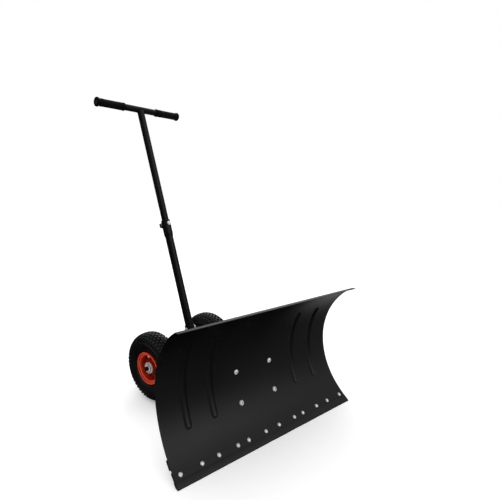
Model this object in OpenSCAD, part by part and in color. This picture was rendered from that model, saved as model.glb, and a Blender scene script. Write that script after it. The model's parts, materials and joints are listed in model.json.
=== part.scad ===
/* [Blade] */
// Width of the blade sheet
blade_w = 740; // [640:10:860]
// Radius of the rolled face of the blade
blade_r = 249; // [235:1:265]
// Thickness of the blade sheet
sheet_t = 1.5; // [1.2:0.1:2]
// Angle of the rolled stretch, from the toe to the top lip
blade_arc = 111; // [104:1:116]
// Lean of the toe from the vertical
rake = 51.4; // [46:0.2:56]
// Length of the flat toe below the rolled stretch
toe_len = 17; // [14:1:20]
// Depth of the level lip that juts forward along the top edge
top_lip_w = 15; // [10:1:22]
// Rubber showing below the sheet
rubber_show = 21.4; // [15:0.2:26]
// Turn of the blade about the swivel bolt at rest
blade_turn = -12.5; // [-28:0.5:28]
// Distance from the toe back to the swivel bolt
swivel_back = 180; // [176:1:200]

/* [Wheels] */
// Outside radius of the tyre
tyre_r = 128.5; // [124:0.5:132]
// Outside width of the tyre
tyre_w = 84; // [80:1:88]
// Outside radius of the rim lip
rim_r = 62.5; // [61:0.5:64]
// Middle of a wheel, out from the middle of the frame
wheel_x = 152.5; // [148:0.5:175]
// Distance from the swivel bolt back to the axle
axle_y = 288; // [270:1:320]
// Radius of the axle
axle_r = 8; // [7:0.5:9]

/* [Mast] */
// Place behind the swivel bolt where the mast line meets the ground
mast_y = 170; // [160:1:185]
// Lean of the mast from the vertical
mast_lean = 17.7; // [14:0.1:20]
// Length along the mast line from the ground to the cross tube
mast_len = 1183.8; // [1120:1:1240]
// Outside radius of the lower mast tube
lower_r = 16; // [15.5:0.1:16.5]
// Outside radius of the upper mast tube
upper_r = 14.3; // [14:0.1:14.4]
// Travel of the upper mast tube
mast_travel = 120; // [60:5:150]
// Half length of the cross tube with its grips
bar_half = 209; // [180:1:240]

/* [Frame] */
// Side of the square beam
beam_w = 40; // [36:1:44]
// Wall of the square beam
beam_wall = 3; // [2:0.5:4]

/* [Hidden] */
$fn = 72;

// fits: running, standing and loose gaps on a radius
run_gap = 0.06;
snug_gap = 0.02;
loose_gap = 0.2;
// gap between flat faces that touch
face_gap = 0.02;

// blade geometry, as seen straight on before its turn about the swivel bolt
toe_y = -swivel_back;
toe_z = rubber_show * cos(rake) + sheet_t * sin(rake);
arc_y = toe_y + toe_len * sin(rake) - blade_r * cos(rake);
arc_z = toe_z + toe_len * cos(rake) + blade_r * sin(rake);
back_r = blade_r + sheet_t;
top_a = blade_arc - rake;
sheet_end = toe_len + blade_arc * PI / 180 * blade_r;
// bolts and ribs: places across the blade as shares of its half width, and lengths up the sheet
scraper_xs = [0.08, 0.2765, 0.392, 0.5865, 0.7473, 0.9405] * blade_w / 2;
scraper_s = 11.4;
bracket_x = 74.5;
bracket_s = [116.5, 215.3];
rib_xs = [0.492, 0.7514] * blade_w / 2;
rib_s = [117, 375];
rib_r = 18;
rib_sink = 13.5;

// middle of the scraper's level resting face, in the same straight-ahead frame
lip_t = 10;
rest_s = (toe_z - lip_t / 2 * sin(rake)) / cos(rake);
rest_y = toe_y - rest_s * sin(rake) + lip_t / 2 * cos(rake);

// fasteners: [shank radius, head radius, head height, nut corner radius, nut height]
m6 = [3, 6.2, 3.6, 5.6, 5];
m8 = [4, 8.5, 4.6, 7.4, 6.5];
m6_hole = 3.2;
m8_hole = 4.2;

// scraper parts behind the sheet
tongue_t = 5;
clamp_t = 4;
scraper_back = sheet_t + tongue_t + clamp_t + 3 * face_gap;
scraper_washer_t = 1.6;

// bracket parts behind the sheet; a flat washer or bolt head stands a little off the curved faces
strap_t = 4;
strap_w = 44;
bracket_washer_t = 1.6;
bracket_back = sheet_t + strap_t + 0.3;
bolt_lift = 0.16;

// swivel stack, from the beam upwards and downwards
axle_z = tyre_r;
beam_top = axle_z + beam_w / 2;
beam_low = axle_z - beam_w / 2;
quadrant_t = 5;
thrust_t = 3;
plate_t = 5;
upper_plate_z = beam_top + quadrant_t + thrust_t;
lower_plate_z = beam_low - thrust_t - plate_t;
swivel_r = 6;
swivel_washer_r = 13;
swivel_washer_t = 2.5;
swivel_head_r = 10.4;
clamp_radius = 60;
swivel_reach = 30;
clamp_washer_t = 2;
clamp_top = upper_plate_z + plate_t + clamp_washer_t;

// wheel parts, measured from the middle of the wheel
tread_r = tyre_w / 2;
tread_mid = tyre_r - tread_r;
bead_r = 50;
rim_half = 29;
hub_half = 31;
hub_r = 20;
bearing_r = 17.5;
bearing_w = 11;
rim_bolt_circle = 39;
lip_round = 3.2;
rim_plate = 2;
valve_x = 15;
valve_a = -90;

// frame and axle
beam_front = -26;
beam_end = axle_y + 32;
axle_tube_r = 13;
axle_tube_half = 104;
hub_out = wheel_x + hub_half;
hub_in = wheel_x - hub_half;
axle_washer_t = 2;
pin_x = hub_out + axle_washer_t + 2.6;
axle_half = pin_x + 4.5;

// mast parts, measured along the mast line
foot_low = 166;
foot_high = 280;
socket_wall = 3.2;
foot_out = lower_r + socket_wall;
foot_bolt_d = [200, 255];
collar_low = 634;
collar_high = 702;
collar_r = 18.5;
collar_bolt_d = 686;
collar_washer_t = 1.5;
tube_wall = 1.5;
upper_low = collar_bolt_d - mast_travel - 45;
bar_r = 12.7;
grip_r = 15;
grip_start = 82;

// ---------- shared shapes ----------

// moves the part from the foot of the swivel bolt, where it is drawn, to its resting face
module to_rest() {
  translate([rest_y * sin(blade_turn), -rest_y * cos(blade_turn), 0]) children();
}

// turns a shape drawn straight ahead into the blade's own turn
module on_blade() {
  rotate([0, 0, blade_turn]) children();
}

// stands a child on the blade face at length s from the toe, +Z out of the front face
module at_sheet(s, x) {
  a = rake - max(s - toe_len, 0) / blade_r * 180 / PI;
  toe_part = toe_len - min(s, toe_len);
  translate([x, arc_y + blade_r * cos(a) - toe_part * sin(rake),
             arc_z - blade_r * sin(a) - toe_part * cos(rake)])
    rotate([90 - a, 0, 0]) children();
}

// shape turned about the blade's roll axis between two lengths along the sheet
module rolled(s1, s2) {
  a1 = (s1 - toe_len) / blade_r * 180 / PI - rake;
  a2 = (s2 - toe_len) / blade_r * 180 / PI - rake;
  translate([0, arc_y, arc_z]) rotate([90, 0, 90])
    rotate_extrude(start = a1, angle = a2 - a1, $fn = 180) children();
}

// curved band on the blade, from radius r1 to r2
module band(r1, r2, w, s1, s2) {
  rolled(s1, s2) translate([r1, -w / 2]) square([r2 - r1, w]);
}

// cylinder round the blade's roll axis
module roll_cylinder(r, w) {
  translate([-w / 2, arc_y, arc_z]) rotate([0, 90, 0]) cylinder(r = r, h = w, $fn = 360);
}

// flat plate standing in the Y-Z plane, centred on x
module side_plate(x, t) {
  translate([x - t / 2, 0, 0]) rotate([90, 0, 90]) linear_extrude(t) children();
}

// tube along +Z
module tube(r1, r2, h) {
  difference() {
    cylinder(r = r1, h = h);
    translate([0, 0, -1]) cylinder(r = r2, h = h + 2);
  }
}

// ring on a shaft along +Z
module washer(r1, r2, t) {
  tube(r1, r2, t);
}

// hexagon nut along +Z with its threaded hole
module hex_nut(size) {
  difference() {
    cylinder(r = size[3], h = size[4], $fn = 6);
    translate([0, 0, -1]) cylinder(r = size[0] + snug_gap, h = size[4] + 2);
  }
}

// domed bolt head on z = 0, pointing to +Z
module dome_head(r, h) {
  ball = (r * r + h * h) / (2 * h);
  intersection() {
    translate([0, 0, h - ball]) sphere(r = ball, $fn = 96);
    cylinder(r = r, h = h + 1);
  }
}

// domed bolt with its shank towards -Z
module dome_bolt(size, len) {
  union() {
    dome_head(size[1], size[2]);
    translate([0, 0, -len]) cylinder(r = size[0], h = len + 0.2);
  }
}

// domed bolt with a hexagon socket
module socket_bolt(size, len) {
  difference() {
    dome_bolt(size, len);
    translate([0, 0, size[2] * 0.35]) cylinder(r = size[0] * 0.72, h = size[2], $fn = 6);
  }
}

// hexagon-headed bolt with its shank towards -Z
module hex_bolt(size, len) {
  union() {
    cylinder(r = size[3], h = size[2], $fn = 6);
    translate([0, 0, -len]) cylinder(r = size[0], h = len + 0.2);
  }
}

// knob with lobes round it, on z = 0, closed above its threaded hole
module lobed_knob(r, lobe_r, h, hole_r, hole_h) {
  lobes = 5;
  difference() {
    union() {
      cylinder(r = r * 0.55, h = h);
      translate([0, 0, h * 0.28]) cylinder(r = r * 0.74, h = h * 0.66);
      for (i = [0 : lobes - 1])
        rotate([0, 0, i * 360 / lobes]) translate([r - lobe_r, 0, h * 0.33])
          cylinder(r = lobe_r, h = h * 0.56);
    }
    translate([0, 0, -1]) cylinder(r = hole_r, h = hole_h + 1);
  }
}

// frame of the mast: +Z up the mast line from the ground, +Y to the rear
module on_mast(d) {
  translate([0, mast_y, 0]) rotate([-mast_lean, 0, 0]) translate([0, 0, d]) children();
}

// frame of a wheel: +Z outwards along the axle from the middle of the wheel
module on_wheel(side) {
  translate([side * wheel_x, axle_y, axle_z]) rotate([0, side * 90, 0]) children();
}

// runs its children at each scraper bolt
module each_scraper_bolt() {
  for (x = scraper_xs, side = [-1, 1])
    at_sheet(scraper_s, side * x) children();
}

// runs its children at each bracket bolt
module each_bracket_bolt() {
  for (s = bracket_s, side = [-1, 1])
    at_sheet(s, side * bracket_x) children();
}

// runs its children at each rim bolt, in the wheel's frame
module each_rim_bolt() {
  for (i = [0 : 3])
    rotate([0, 0, 45 + i * 90]) translate([rim_bolt_circle, 0, 0]) children();
}

// ---------- blade ----------

// one pressed rib: a round bead along the sheet whose centre lies in front of the face
module rib_bead(x, r) {
  rolled(rib_s[0], rib_s[1]) translate([blade_r - rib_sink, x]) circle(r = r);
  for (s = rib_s)
    at_sheet(s, x) translate([0, 0, rib_sink]) sphere(r = r + 0.5);
}

module blade_sheet() {
  skin = 0.03;
  // the rolled stretch is drawn as strips side by side, so each of its faces stays small
  strips = 6;
  sides = [-1, 1];
  color([0.13, 0.14, 0.14]) on_blade() difference() {
    union() {
      difference() {
        union() {
          for (k = [0 : strips - 1])
            translate([(k - (strips - 1) / 2) * blade_w / strips, 0, 0])
              band(blade_r, back_r, blade_w / strips, toe_len, sheet_end);
          for (x = rib_xs, side = sides) rib_bead(side * x, rib_r + sheet_t);
        }
        roll_cylinder(blade_r, blade_w + 2);
        for (x = rib_xs, side = sides) rib_bead(side * x, rib_r);
      }
      // the flat toe runs a little way into the rolled stretch, just under its faces
      at_sheet(0, 0) translate([-blade_w / 2, 0, skin - sheet_t])
        cube([blade_w, toe_len + 1, sheet_t - 2 * skin]);
      // the lip starts inside the end of the rolled stretch, just under its back corner
      translate([-blade_w / 2, arc_y + back_r * cos(top_a) - top_lip_w,
                 arc_z + back_r * sin(top_a) - sheet_t - 2 * skin])
        cube([blade_w, top_lip_w, sheet_t]);
    }
    each_scraper_bolt() translate([0, 0, -10]) cylinder(r = m6_hole, h = 20);
    each_bracket_bolt() translate([0, 0, -10]) cylinder(r = m8_hole, h = 20);
  }
}

// flat bar rolled to the sheet's curve, welded behind it above the toe
module blade_stiffener() {
  color([0.1, 0.1, 0.11]) on_blade() band(back_r, back_r + 8, blade_w + 2, 31, 57);
}

// rubber strip: a thick wear lip under the sheet and a thin tongue behind it
module scraper_strip() {
  color([0.09, 0.085, 0.08]) on_blade() difference() {
    union() {
      at_sheet(0, 0) translate([-blade_w / 2 - 1, -40, -lip_t])
        cube([blade_w + 2, 39.8, lip_t]);
      at_sheet(0, 0) translate([-blade_w / 2 + 8, -1, -sheet_t - tongue_t - face_gap])
        cube([blade_w - 16, 25, tongue_t]);
    }
    each_scraper_bolt() translate([0, 0, -20]) cylinder(r = m6_hole, h = 40);
    translate([-blade_w, toe_y - 100, -100]) cube([blade_w * 2, 200, 100]);
  }
}

module scraper_clamp_bar() {
  color([0.12, 0.12, 0.13]) on_blade() difference() {
    at_sheet(0, 0) translate([-blade_w / 2 + 8, 0.4, -sheet_t - tongue_t - clamp_t - 2 * face_gap])
      cube([blade_w - 16, 22, clamp_t]);
    each_scraper_bolt() translate([0, 0, -20]) cylinder(r = m6_hole, h = 40);
  }
}

module scraper_bolts() {
  color([0.85, 0.85, 0.86]) on_blade() each_scraper_bolt()
    dome_bolt(m6, scraper_back + scraper_washer_t + m6[4] + 3);
}

module scraper_washers() {
  color([0.75, 0.75, 0.77]) on_blade() each_scraper_bolt()
    translate([0, 0, -scraper_back - scraper_washer_t]) washer(6, m6[0] + loose_gap, scraper_washer_t);
}

module scraper_nuts() {
  color([0.75, 0.75, 0.77]) on_blade() each_scraper_bolt()
    translate([0, 0, -scraper_back - scraper_washer_t - m6[4]]) hex_nut(m6);
}

// welded bracket: two curved straps, two side plates and the two swivel plates
module blade_bracket() {
  plate_x = bracket_x - strap_w / 2 + plate_t / 2 + 1;
  strap_r = back_r + strap_t;
  color([0.11, 0.11, 0.12]) on_blade() difference() {
    union() {
      difference() {
        union() {
          for (side = [-1, 1])
            side_plate(side * plate_x, plate_t)
              polygon([[-125, 78], [-34, lower_plate_z], [-20, lower_plate_z + 8],
                       [-20, upper_plate_z + plate_t], [-48, 205], [-80, 216]]);
          translate([0, 0, upper_plate_z]) linear_extrude(plate_t) upper_plate_outline(plate_x);
          translate([0, 0, lower_plate_z]) linear_extrude(plate_t) union() {
            circle(r = 34);
            translate([-plate_x, -110]) square([plate_x * 2, 84]);
          }
        }
        roll_cylinder(strap_r - 0.5, blade_w);
      }
      for (side = [-1, 1])
        rolled(78, 252) translate([back_r, side * bracket_x - strap_w / 2])
          square([strap_t, strap_w]);
    }
    translate([0, 0, lower_plate_z - 1]) cylinder(r = swivel_r + run_gap, h = 100);
    translate([0, 0, upper_plate_z - 1]) arc_slot();
    each_bracket_bolt() translate([0, 0, -20]) cylinder(r = m8_hole, h = 40);
  }
}

module upper_plate_outline(plate_x) {
  circle(r = 80);
  translate([-plate_x, -90]) square([plate_x * 2, 60]);
}

// curved slot that the clamp stud follows as the blade turns
module arc_slot() {
  slot_r = 4.5;
  span = swivel_reach + 1;
  rotate_extrude(start = 90 - span, angle = 2 * span, $fn = 120)
    translate([clamp_radius - slot_r, 0]) square([2 * slot_r, plate_t + 2]);
  for (end = [-span, span])
    rotate([0, 0, end]) translate([0, clamp_radius, 0]) cylinder(r = slot_r - 0.05, h = plate_t + 2);
}

module bracket_bolts() {
  color([0.85, 0.85, 0.86]) on_blade() each_bracket_bolt()
    translate([0, 0, bolt_lift]) socket_bolt(m8, bracket_back + bracket_washer_t + m8[4] + 4);
}

module bracket_washers() {
  color([0.75, 0.75, 0.77]) on_blade() each_bracket_bolt()
    translate([0, 0, -bracket_back - bracket_washer_t])
      washer(8.2, m8[0] + loose_gap, bracket_washer_t);
}

module bracket_nuts() {
  color([0.75, 0.75, 0.77]) on_blade() each_bracket_bolt()
    translate([0, 0, -bracket_back - bracket_washer_t - m8[4]]) hex_nut(m8);
}

// ---------- frame and swivel ----------

module main_frame() {
  color([0.1, 0.1, 0.11]) difference() {
    union() {
      difference() {
        union() {
          translate([-beam_w / 2, beam_front, beam_low])
            cube([beam_w, beam_end - beam_front, beam_w]);
          translate([-axle_tube_half, axle_y, axle_z]) rotate([0, 90, 0])
            cylinder(r = axle_tube_r, h = 2 * axle_tube_half);
        }
        translate([-beam_w / 2 + beam_wall, beam_front + beam_wall, beam_low + beam_wall])
          cube([beam_w - 2 * beam_wall, beam_end + 60, beam_w - 2 * beam_wall]);
      }
      axle_sleeve();
      translate([0, 0, beam_low]) cylinder(r = 11, h = beam_w);
      translate([0, 0, beam_top]) linear_extrude(quadrant_t) union() {
        circle(r = 38);
        translate([-beam_w / 2, 0]) square([beam_w, clamp_radius]);
        translate([0, clamp_radius]) circle(r = beam_w / 2);
      }
      frame_gussets();
      mast_socket();
    }
    translate([0, 0, beam_low - 1]) cylinder(r = swivel_r + snug_gap, h = 60);
    translate([-120, axle_y, axle_z]) rotate([0, 90, 0]) cylinder(r = axle_r + snug_gap, h = 240);
    mast_bore();
  }
}

// part of the axle tube that runs through the hollow beam
module axle_sleeve() {
  translate([-beam_w / 2, axle_y, axle_z]) rotate([0, 90, 0])
    cylinder(r = axle_tube_r, h = beam_w);
}

// flat gussets that brace the axle tube against the beam
module frame_gussets() {
  for (side = [-1, 1]) mirror([side < 0 ? 1 : 0, 0, 0])
    translate([0, 0, axle_z - 2]) linear_extrude(4)
      polygon([[beam_w / 2 - 1, axle_y - 75], [beam_w / 2 - 1, axle_y], [axle_tube_half - 12, axle_y],
               [axle_tube_half - 12, axle_y - 10]]);
}

// round socket welded on the beam for the foot of the mast, with a gusset behind it
module mast_socket() {
  intersection() {
    union() {
      on_mast(foot_low - 25) cylinder(r = foot_out, h = foot_high - foot_low + 13);
      side_plate(0, 5)
        polygon([[axle_y - 86, beam_top - 1], [axle_y + 14, beam_top - 1], [axle_y - 28, beam_top + 76]]);
    }
    translate([-50, 0, beam_top - 1]) cube([100, 500, 200]);
  }
}

module mast_bore() {
  on_mast(foot_low - 1) cylinder(r = lower_r + snug_gap, h = 200);
  for (d = foot_bolt_d)
    on_mast(d) translate([-40, 0, 0]) rotate([0, 90, 0]) cylinder(r = m8[0] + snug_gap, h = 80);
}

module frame_end_cap() {
  color([0.06, 0.06, 0.06]) union() {
    translate([-beam_w / 2, beam_end, beam_low]) cube([beam_w, 3, beam_w]);
    translate([-beam_w / 2 + beam_wall + 0.1, beam_end - 12, beam_low + beam_wall + 0.1])
      cube([beam_w - 2 * beam_wall - 0.2, 12.5, beam_w - 2 * beam_wall - 0.2]);
  }
}

module swivel_bolt() {
  head_z = upper_plate_z + plate_t + swivel_washer_t;
  color([0.75, 0.75, 0.77]) union() {
    translate([0, 0, head_z]) cylinder(r = swivel_head_r, h = 7.5, $fn = 6);
    translate([0, 0, lower_plate_z - 18]) cylinder(r = swivel_r, h = head_z - lower_plate_z + 18.5);
  }
}

module swivel_nut() {
  color([0.75, 0.75, 0.77]) difference() {
    translate([0, 0, lower_plate_z - swivel_washer_t - 12]) union() {
      cylinder(r = 8.6, h = 4);
      translate([0, 0, 3]) cylinder(r = swivel_head_r, h = 9, $fn = 6);
    }
    translate([0, 0, lower_plate_z - 40]) cylinder(r = swivel_r + snug_gap, h = 60);
  }
}

module swivel_washers() {
  color([0.75, 0.75, 0.77]) union() {
    for (z = [upper_plate_z + plate_t, lower_plate_z - swivel_washer_t])
      translate([0, 0, z]) washer(swivel_washer_r, swivel_r + loose_gap, swivel_washer_t);
  }
}

module thrust_washers() {
  color([0.9, 0.9, 0.86]) union() {
    translate([0, 0, upper_plate_z - thrust_t + face_gap])
      washer(26, swivel_r + loose_gap, thrust_t - 2 * face_gap);
    translate([0, 0, lower_plate_z + plate_t + face_gap])
      washer(26, swivel_r + loose_gap, thrust_t - 2 * face_gap);
  }
}

module clamp_stud() {
  color([0.75, 0.75, 0.77]) translate([0, clamp_radius, beam_top + quadrant_t])
    cylinder(r = 4, h = clamp_top - beam_top - quadrant_t + 15);
}

module clamp_washer() {
  color([0.75, 0.75, 0.77]) translate([0, clamp_radius, upper_plate_z + plate_t])
    washer(11, 4 + loose_gap, clamp_washer_t);
}

module swivel_knob() {
  color([0.06, 0.06, 0.06]) translate([0, clamp_radius, clamp_top])
    lobed_knob(20, 7, 20, 4 + run_gap, 16);
}

// ---------- axle ----------

module axle() {
  color([0.5, 0.5, 0.52]) difference() {
    translate([-axle_half, axle_y, axle_z]) rotate([0, 90, 0]) cylinder(r = axle_r, h = 2 * axle_half);
    for (side = [-1, 1]) translate([side * pin_x, axle_y, axle_z - 20]) cylinder(r = 2.05, h = 40);
  }
}

// spacers between the axle tube and the hubs
module axle_spacers() {
  color([0.2, 0.2, 0.2]) for (side = [-1, 1])
    translate([side * (axle_tube_half + hub_in) / 2, axle_y, axle_z]) rotate([0, 90, 0])
      translate([0, 0, -(hub_in - axle_tube_half) / 2 + 0.1])
        tube(12, axle_r + snug_gap, hub_in - axle_tube_half - 0.2);
}

module axle_washers() {
  color([0.85, 0.85, 0.86]) for (side = [-1, 1])
    translate([side * (hub_out + 0.2 + axle_washer_t / 2), axle_y, axle_z]) rotate([0, 90, 0])
      translate([0, 0, -axle_washer_t / 2]) washer(14, axle_r + loose_gap, axle_washer_t);
}

// split pins: a leg through the axle and a round eye above it
module split_pins() {
  color([0.8, 0.8, 0.8]) for (side = [-1, 1])
    translate([side * pin_x, axle_y, axle_z]) union() {
      translate([0, 0, -13]) cylinder(r = 2, h = 24);
      translate([0, 0, 13]) rotate([0, 90, 0]) rotate_extrude() translate([3, 0]) circle(r = 1.6, $fn = 24);
    }
}

// ---------- mast ----------

module mast_lower() {
  color([0.13, 0.14, 0.14]) difference() {
    on_mast(foot_low) cylinder(r = lower_r, h = collar_high - 8 - foot_low);
    on_mast(foot_low - 1) cylinder(r = upper_r + run_gap, h = 700);
    for (d = foot_bolt_d)
      on_mast(d) translate([-40, 0, 0]) rotate([0, 90, 0]) cylinder(r = m8[0] + snug_gap, h = 80);
    on_mast(collar_bolt_d) rotate([90, 0, 0]) translate([0, 0, -40]) cylinder(r = 4.1, h = 80);
  }
}

// two bolts across the mast socket
module mast_foot_bolts() {
  color([0.75, 0.75, 0.77]) for (d = foot_bolt_d)
    on_mast(d) rotate([0, -90, 0]) translate([0, 0, foot_out])
      hex_bolt(m8, 2 * foot_out + m8[4] + 3);
}

module mast_foot_nuts() {
  color([0.75, 0.75, 0.77]) for (d = foot_bolt_d)
    on_mast(d) rotate([0, 90, 0]) translate([0, 0, foot_out]) hex_nut(m8);
}

// collar over the top of the lower mast tube, with an inward lip that guides the upper one
module mast_collar() {
  taper = 12;
  color([0.1, 0.1, 0.1]) on_mast(0) difference() {
    union() {
      translate([0, 0, collar_low + taper]) cylinder(r = collar_r, h = collar_high - collar_low - taper);
      translate([0, 0, collar_low]) cylinder(r1 = lower_r + 0.8, r2 = collar_r, h = taper + 0.01);
    }
    translate([0, 0, collar_low - 1]) cylinder(r = lower_r + snug_gap, h = collar_high - collar_low - 6.9);
    translate([0, 0, collar_low]) cylinder(r = upper_r + run_gap, h = 100);
    translate([0, 0, collar_bolt_d]) rotate([90, 0, 0]) translate([0, 0, -40])
      cylinder(r = 4.1, h = 80);
  }
}

module collar_bolt() {
  color([0.85, 0.85, 0.86]) on_mast(collar_bolt_d) rotate([90, 0, 0])
    translate([0, 0, collar_r + collar_washer_t])
      dome_bolt(m8, 2 * collar_r + 2 * collar_washer_t + 9);
}

module collar_washers() {
  color([0.75, 0.75, 0.77]) on_mast(collar_bolt_d) for (turn = [90, -90])
    rotate([turn, 0, 0]) translate([0, 0, collar_r]) washer(8.5, 4.1 + loose_gap, collar_washer_t);
}

module collar_knob() {
  color([0.06, 0.06, 0.06]) on_mast(collar_bolt_d) rotate([-90, 0, 0])
    translate([0, 0, collar_r + collar_washer_t]) lobed_knob(13, 4.4, 14, 4 + run_gap, 10.5);
}

// upper mast tube with a slot down both faces for the collar bolt
module mast_upper() {
  slot_r = 4.4;
  color([0.13, 0.14, 0.14]) on_mast(0) difference() {
    translate([0, 0, upper_low]) cylinder(r = upper_r, h = mast_len - upper_low);
    translate([0, 0, upper_low - 1]) cylinder(r = upper_r - tube_wall, h = mast_len);
    translate([-bar_half, 0, mast_len]) rotate([0, 90, 0])
      cylinder(r = bar_r + snug_gap, h = 2 * bar_half);
    for (d = [collar_bolt_d - mast_travel, collar_bolt_d])
      translate([0, 0, d]) rotate([90, 0, 0]) translate([0, 0, -40]) cylinder(r = slot_r, h = 80);
    translate([-slot_r, -40, collar_bolt_d - mast_travel]) cube([2 * slot_r, 80, mast_travel]);
  }
}

module cross_tube() {
  color([0.13, 0.14, 0.14]) on_mast(mast_len) translate([-bar_half + 4, 0, 0]) rotate([0, 90, 0])
    tube(bar_r, bar_r - tube_wall, 2 * bar_half - 8);
}

// rubber grip: sleeve with a collar at its inner end and a closed flange at its outer end
module grip(side) {
  grip_len = bar_half - grip_start;
  on_mast(mast_len) rotate([0, side * 90, 0]) translate([0, 0, grip_start]) difference() {
    union() {
      cylinder(r = grip_r, h = grip_len);
      cylinder(r = grip_r + 1, h = 7);
      translate([0, 0, grip_len - 6]) cylinder(r = grip_r + 3, h = 6);
    }
    translate([0, 0, -1]) cylinder(r = bar_r + snug_gap, h = grip_len - 2.5);
    translate([0, 0, -1]) cylinder(r = 8, h = grip_len + 2);
  }
}

module grip_left() { color([0.07, 0.07, 0.07]) grip(-1); }
module grip_right() { color([0.07, 0.07, 0.07]) grip(1); }

// plastic plugs in the ends of the cross tube
module bar_end_plugs() {
  color([0.25, 0.25, 0.25]) on_mast(mast_len) for (side = [-1, 1])
    rotate([0, side * 90, 0]) translate([0, 0, bar_half - 16]) difference() {
      union() {
        cylinder(r = bar_r - tube_wall - 0.05, h = 12);
        translate([0, 0, 11]) cylinder(r = 7.8, h = 4);
      }
      translate([0, 0, 13]) cylinder(r = 4, h = 4);
    }
}

// ---------- wheels ----------

// half section of the rim in radius and width: hub collar, cone, disc, bead seat and lip
module rim_section() {
  bore = hub_r + snug_gap;
  polygon([[bore, 24], [bore, 15], [30, 0.02], [bead_r, 0.02], [bead_r, rim_half],
           [rim_r - lip_round, rim_half], [rim_r - lip_round, rim_half + rim_plate],
           [bead_r - rim_plate, rim_half + rim_plate], [bead_r - rim_plate, rim_plate],
           [30.8, rim_plate], [bore + rim_plate, 16], [bore + rim_plate, 24]]);
  translate([rim_r - lip_round, rim_half + lip_round]) circle(r = lip_round, $fn = 48);
}

// one pressed half of a rim, with ribs on its dished disc
module rim_half_shell(with_valve) {
  ribs = 8;
  difference() {
    union() {
      rotate_extrude($fn = 144) rim_section();
      for (i = [0 : ribs - 1])
        rotate([90, 0, (i + 0.5) * 360 / ribs]) translate([0, 0, -1.25]) linear_extrude(2.5)
          polygon([[hub_r + 1.5, 12], [hub_r + 1.5, 22], [34, 10], [bead_r - 1, 7], [bead_r - 1, 1],
                   [30.4, 1]]);
    }
    each_rim_bolt() translate([0, 0, -1]) cylinder(r = 3.2, h = 20);
    if (with_valve) rotate([0, 0, valve_a]) translate([bead_r - 10, 0, valve_x]) rotate([0, 90, 0])
      cylinder(r = 3.3, h = 20);
  }
}

// tyre section: ring with two beads that sit inside the rim lips
module tyre_section() {
  wall = 6.5;
  bead_w = 9.5;
  difference() {
    union() {
      translate([tread_mid, 0]) circle(r = tread_r, $fn = 96);
      for (side = [-1, 1])
        translate([bead_r, side > 0 ? rim_half - bead_w : -rim_half]) square([13, bead_w]);
    }
    translate([tread_mid, 0]) circle(r = tread_r - wall, $fn = 96);
    translate([0, bead_w - rim_half]) square([bead_r + 12, 2 * (rim_half - bead_w)]);
    for (side = [-1, 1]) {
      translate([rim_r - lip_round, side * (rim_half + lip_round)]) circle(r = lip_round + 0.2, $fn = 48);
      translate([0, side > 0 ? rim_half - 0.1 : -rim_half - 20]) square([rim_r - lip_round, 20.1]);
    }
    translate([0, -100]) square([bead_r + 0.1, 200]);
  }
}

module tyre() {
  rotate_extrude($fn = 180) tyre_section();
}

// thin-walled ring of rubber that fills the tyre
module inner_tube() {
  tube_r = tread_r - 6.8;
  rotate_extrude($fn = 144) translate([tread_mid, 0]) difference() {
    circle(r = tube_r, $fn = 72);
    circle(r = tube_r - 2, $fn = 72);
  }
}

module hub() {
  seat = bearing_w + 0.2;
  difference() {
    translate([0, 0, -hub_half]) cylinder(r = hub_r, h = 2 * hub_half);
    translate([0, 0, -hub_half - 1]) cylinder(r = 12, h = 2 * hub_half + 2);
    for (end = [-1, 1])
      translate([0, 0, end > 0 ? hub_half - seat : -hub_half - 1]) cylinder(r = bearing_r, h = seat + 1);
  }
}

// two sealed ball bearings, each with a shallow ring sunk into both faces
module bearings() {
  groove = 0.6;
  for (end = [-1, 1])
    translate([0, 0, end * (hub_half - 0.1 - bearing_w / 2)]) difference() {
      translate([0, 0, -bearing_w / 2]) cylinder(r = bearing_r - snug_gap, h = bearing_w);
      translate([0, 0, -bearing_w]) cylinder(r = axle_r + run_gap, h = 2 * bearing_w);
      for (face = [-1, 1])
        translate([0, 0, face * bearing_w / 2 - groove]) tube(bearing_r - 2.5, axle_r + 3, 2 * groove);
    }
}

module rim_bolts() {
  each_rim_bolt() translate([0, 0, rim_plate + 0.04]) hex_bolt(m6, 2 * rim_plate + 0.1 + m6[4] + 3);
}

module rim_nuts() {
  each_rim_bolt() translate([0, 0, -rim_plate - 0.04 - m6[4]]) hex_nut(m6);
}

// valve stem: in from the tube through the bead seat, then out along the axle to its cap
module valve() {
  stem_r = 3;
  elbow = bead_r - 9;
  rotate([0, 0, valve_a]) union() {
    translate([elbow, 0, valve_x]) rotate([0, 90, 0]) cylinder(r = stem_r, h = 10);
    translate([elbow, 0, valve_x]) sphere(r = stem_r + 0.6);
    translate([elbow, 0, valve_x]) cylinder(r = stem_r, h = 14);
    translate([elbow, 0, valve_x + 10]) cylinder(r = stem_r + 1.2, h = 9);
  }
}

module rims(side, outer) {
  color([0.72, 0.12, 0.06]) on_wheel(side) mirror([0, 0, outer ? 0 : 1]) rim_half_shell(outer);
}

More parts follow.
